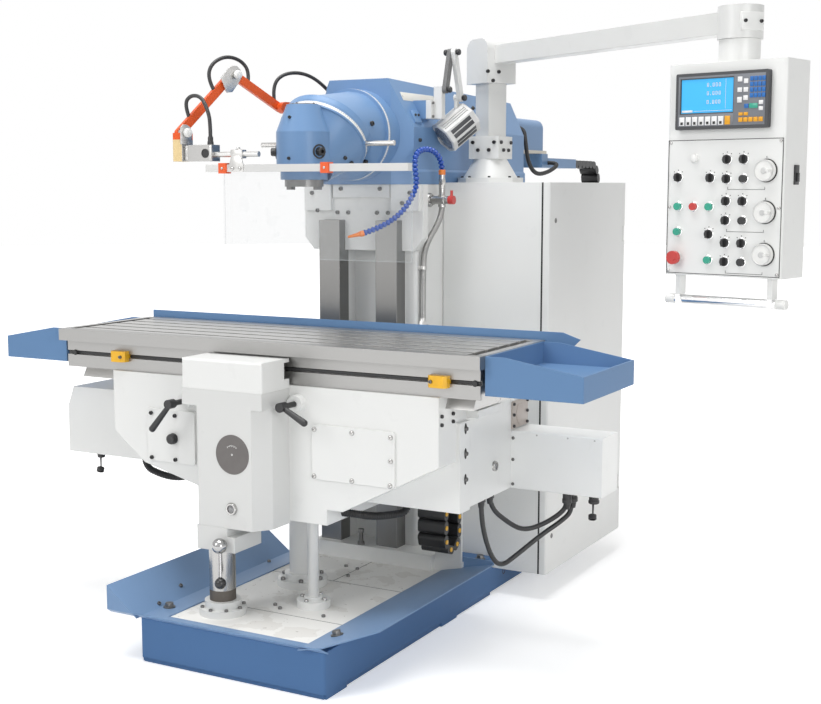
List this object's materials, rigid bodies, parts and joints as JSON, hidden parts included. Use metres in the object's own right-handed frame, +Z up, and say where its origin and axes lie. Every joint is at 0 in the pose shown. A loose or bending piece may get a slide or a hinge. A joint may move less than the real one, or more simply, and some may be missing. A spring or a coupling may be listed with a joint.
{
  "type": "universal milling machine",
  "caption": "Knee-type universal milling machine with long T-slotted table, sliding ram, double-swivel spindle head, chip tray base, side cabinet and swing-arm control pendant.",
  "frame": {"origin": "on the floor, under the front plane of the column's ways and in the spindle's plane", "axes": "+X along the table to the operator's right, +Y to the machine's back, +Z up"},
  "size_m": [2.6546, 3.0164, 2.03],
  "materials": {
    "blue_paint": "satin",
    "white_paint": "satin",
    "ground_steel": "ground",
    "bright_steel": "polished",
    "black_plastic": "matte",
    "black_rubber": "matte",
    "yellow_plastic": "gloss",
    "orange_paint": "satin",
    "red_plastic": "gloss",
    "green_plastic": "gloss",
    "grey_plastic": "satin",
    "clear_plastic": "clear",
    "blue_hose": "satin",
    "conduit_steel": "satin",
    "lamp_aluminium": "satin",
    "dark_case": "satin"
  },
  "bodies": {
    "frame": {"base_casting": "blue_paint", "chip_tray": "blue_paint", "support_post": "bright_steel", "screw_tubes": "white_paint", "column_casting": "white_paint", "cabinet_case": "white_paint", "pendant_pedestal": "white_paint", "coolant_line": "conduit_steel", "coolant_hose": "blue_hose", "knee_chain": "black_plastic", "ram_chain": "black_plastic"},
    "knee": {"knee_casting": "white_paint", "front_housing": "white_paint", "clamp_block": "white_paint", "knee_covers": "white_paint", "drive_box_left": "white_paint", "drive_box_right": "white_paint", "knee_cables": "black_rubber"},
    "table": {"table": "ground_steel", "rear_guard": "blue_paint", "end_trays": "blue_paint", "trip_dogs": "yellow_plastic"},
    "ram": {"ram_body": "blue_paint", "rear_housings": "blue_paint", "ram_hose": "black_rubber"},
    "swivel_head": {"swivel_head": "blue_paint"},
    "milling_head": {"milling_head": "blue_paint"},
    "spindle": {"spindle": "bright_steel"},
    "x_screw": {"x_screw": "bright_steel"},
    "y_screw": {"y_screw": "bright_steel"},
    "z_screw": {"z_screw": "bright_steel"},
    "clamp_lever_left": {"clamp_lever_left": "black_plastic"},
    "clamp_lever_right": {"clamp_lever_right": "black_plastic"},
    "ball_lever": {"ball_lever": "bright_steel"},
    "guard_arm_inner": {"guard_arm_inner": "orange_paint"},
    "guard_arm_outer": {"guard_arm_outer": "orange_paint"},
    "guard_shield": {"guard_rail": "bright_steel", "guard_screen": "clear_plastic"},
    "lamp_lower_arm": {"lamp_lower_arm": "lamp_aluminium"},
    "lamp_upper_arm": {"lamp_upper_arm": "lamp_aluminium"},
    "lamp_head": {"lamp_head": "lamp_aluminium"},
    "valve_handle": {"valve_handle": "red_plastic"},
    "cabinet_door": {"cabinet_door": "white_paint"},
    "control_arm": {"control_arm": "white_paint"},
    "pendant": {"pendant_box": "white_paint", "dro_unit": "dark_case", "pendant_handle": "bright_steel", "selector_knobs": "black_plastic"},
    "start_button": {"start_button": "green_plastic"},
    "feed_button": {"feed_button": "green_plastic"},
    "clamp_button": {"clamp_button": "green_plastic"},
    "coolant_button": {"coolant_button": "green_plastic"},
    "stop_button": {"stop_button": "red_plastic"},
    "emergency_stop": {"emergency_stop": "red_plastic"},
    "jog_button_x": {"jog_button_x": "black_plastic"},
    "jog_button_y": {"jog_button_y": "black_plastic"},
    "jog_button_z": {"jog_button_z": "black_plastic"},
    "handwheel_x": {"handwheel_x": "grey_plastic"},
    "handwheel_y": {"handwheel_y": "grey_plastic"},
    "handwheel_z": {"handwheel_z": "grey_plastic"}
  },
  "joints": [
    {"name": "knee_lift", "type": "slide", "parent": "frame", "child": "knee", "axis": [0, 0, 1], "range_m": [-0.1, 0.22], "deforming": ["knee_chain"]},
    {"name": "z_screw_spin", "type": "hinge", "parent": "knee", "child": "z_screw", "pos_m": [-0.01, -0.362, 0.5], "axis": [0, 0, 1], "continuous": true},
    {"name": "table_feed", "type": "slide", "parent": "knee", "child": "table", "axis": [-1, 0, 0], "range_m": [-0.6, 0.6]},
    {"name": "x_screw_spin", "type": "hinge", "parent": "table", "child": "x_screw", "pos_m": [0, -0.436, 0.864], "axis": [1, 0, 0], "continuous": true},
    {"name": "ram_feed", "type": "slide", "parent": "frame", "child": "ram", "axis": [0, -1, 0], "range_m": [0, 0.5], "deforming": ["ram_chain"]},
    {"name": "y_screw_spin", "type": "hinge", "parent": "frame", "child": "y_screw", "pos_m": [0, 0.5, 1.47], "axis": [0, 1, 0], "continuous": true},
    {"name": "head_swivel", "type": "hinge", "parent": "ram", "child": "swivel_head", "pos_m": [0, -0.032, 1.677], "axis": [0, 1, 0], "range_deg": [-90, 90]},
    {"name": "head_tilt", "type": "hinge", "parent": "swivel_head", "child": "milling_head", "pos_m": [0, -0.209, 1.674], "axis": [0, 0.7071, 0.7071], "range_deg": [0, 180]},
    {"name": "spindle_spin", "type": "hinge", "parent": "milling_head", "child": "spindle", "pos_m": [0, -0.341, 1.6], "axis": [0, 0, 1], "continuous": true},
    {"name": "clamp_lever_left_turn", "type": "hinge", "parent": "knee", "child": "clamp_lever_left", "pos_m": [-0.25, -0.753, 0.806], "axis": [0, 1, 0], "range_deg": [-45, 45]},
    {"name": "clamp_lever_right_turn", "type": "hinge", "parent": "knee", "child": "clamp_lever_right", "pos_m": [0.18, -0.753, 0.83], "axis": [0, 1, 0], "range_deg": [-45, 45]},
    {"name": "ball_lever_turn", "type": "hinge", "parent": "knee", "child": "ball_lever", "pos_m": [-0.005, -0.833, 0.391], "axis": [0, 1, 0], "range_deg": [-40, 40]},
    {"name": "guard_inner_lift", "type": "hinge", "parent": "ram", "child": "guard_arm_inner", "pos_m": [-0.245, -0.11, 1.773], "axis": [-0.965, 0.2623, 0], "range_deg": [0, 30]},
    {"name": "guard_outer_lift", "type": "hinge", "parent": "guard_arm_inner", "child": "guard_arm_outer", "pos_m": [-0.299, -0.307, 1.876], "axis": [-0.965, 0.2623, 0], "range_deg": [0, 30]},
    {"name": "guard_shield_tilt", "type": "hinge", "parent": "guard_arm_outer", "child": "guard_shield", "pos_m": [-0.2, -0.5, 1.602], "axis": [-1, 0, 0], "range_deg": [0, 90]},
    {"name": "lamp_lower_turn", "type": "hinge", "parent": "ram", "child": "lamp_lower_arm", "pos_m": [0.268, 0.163, 1.836], "axis": [1, 0, 0], "range_deg": [0, 45]},
    {"name": "lamp_upper_turn", "type": "hinge", "parent": "lamp_lower_arm", "child": "lamp_upper_arm", "pos_m": [0.268, 0.2, 1.968], "axis": [-1, 0, 0], "range_deg": [-10, 0]},
    {"name": "lamp_head_turn", "type": "hinge", "parent": "lamp_upper_arm", "child": "lamp_head", "pos_m": [0.268, 0.25, 1.812], "axis": [1, 0, 0], "range_deg": [0, 30]},
    {"name": "valve_turn", "type": "hinge", "parent": "frame", "child": "valve_handle", "pos_m": [0.29, 0.15, 1.45], "axis": [1, 0, 0], "range_deg": [-90, 90]},
    {"name": "cabinet_door_swing", "type": "hinge", "parent": "frame", "child": "cabinet_door", "pos_m": [0.618, 1.034, 0.8], "axis": [0, 0, 1], "range_deg": [0, 110]},
    {"name": "control_arm_swing", "type": "hinge", "parent": "frame", "child": "control_arm", "pos_m": [0.322, 0.425, 1.68], "axis": [0, 0, 1], "range_deg": [-30, 45]},
    {"name": "pendant_swivel", "type": "hinge", "parent": "control_arm", "child": "pendant", "pos_m": [1.38886, -0.148, 1.9], "axis": [0, 0, 1], "range_deg": [-45, 45]},
    {"name": "start_button_press", "type": "slide", "parent": "pendant", "child": "start_button", "axis": [0.2334, 0.9724, 0], "range_m": [0, 0.004], "stiffness_N_per_m": 800, "springref_m": -0.001},
    {"name": "feed_button_press", "type": "slide", "parent": "pendant", "child": "feed_button", "axis": [0.2334, 0.9724, 0], "range_m": [0, 0.004], "stiffness_N_per_m": 800, "springref_m": -0.001},
    {"name": "clamp_button_press", "type": "slide", "parent": "pendant", "child": "clamp_button", "axis": [0.2334, 0.9724, 0], "range_m": [0, 0.004], "stiffness_N_per_m": 800, "springref_m": -0.001},
    {"name": "coolant_button_press", "type": "slide", "parent": "pendant", "child": "coolant_button", "axis": [0.2334, 0.9724, 0], "range_m": [0, 0.004], "stiffness_N_per_m": 800, "springref_m": -0.001},
    {"name": "stop_button_press", "type": "slide", "parent": "pendant", "child": "stop_button", "axis": [0.2334, 0.9724, 0], "range_m": [0, 0.004], "stiffness_N_per_m": 800, "springref_m": -0.001},
    {"name": "emergency_stop_press", "type": "slide", "parent": "pendant", "child": "emergency_stop", "axis": [0.2334, 0.9724, 0], "range_m": [0, 0.006], "stiffness_N_per_m": 800, "springref_m": -0.001},
    {"name": "jog_button_x_press", "type": "slide", "parent": "pendant", "child": "jog_button_x", "axis": [0.2334, 0.9724, 0], "range_m": [0, 0.004], "stiffness_N_per_m": 800, "springref_m": -0.001},
    {"name": "jog_button_y_press", "type": "slide", "parent": "pendant", "child": "jog_button_y", "axis": [0.2334, 0.9724, 0], "range_m": [0, 0.004], "stiffness_N_per_m": 800, "springref_m": -0.001},
    {"name": "jog_button_z_press", "type": "slide", "parent": "pendant", "child": "jog_button_z", "axis": [0.2334, 0.9724, 0], "range_m": [0, 0.004], "stiffness_N_per_m": 800, "springref_m": -0.001},
    {"name": "handwheel_x_spin", "type": "hinge", "parent": "pendant", "child": "handwheel_x", "pos_m": [1.50145, -0.25731, 1.543], "axis": [0.2334, 0.9724, 0], "continuous": true},
    {"name": "handwheel_y_spin", "type": "hinge", "parent": "pendant", "child": "handwheel_y", "pos_m": [1.50145, -0.25731, 1.425], "axis": [0.2334, 0.9724, 0], "continuous": true},
    {"name": "handwheel_z_spin", "type": "hinge", "parent": "pendant", "child": "handwheel_z", "pos_m": [1.50145, -0.25731, 1.305], "axis": [0.2334, 0.9724, 0], "continuous": true}
  ],
  "couplings": [
    {"joint": "z_screw_spin", "follows": "knee_lift", "rad_per_m": 628.32},
    {"joint": "x_screw_spin", "follows": "table_feed", "rad_per_m": 628.32},
    {"joint": "y_screw_spin", "follows": "ram_feed", "rad_per_m": 628.32}
  ]
}
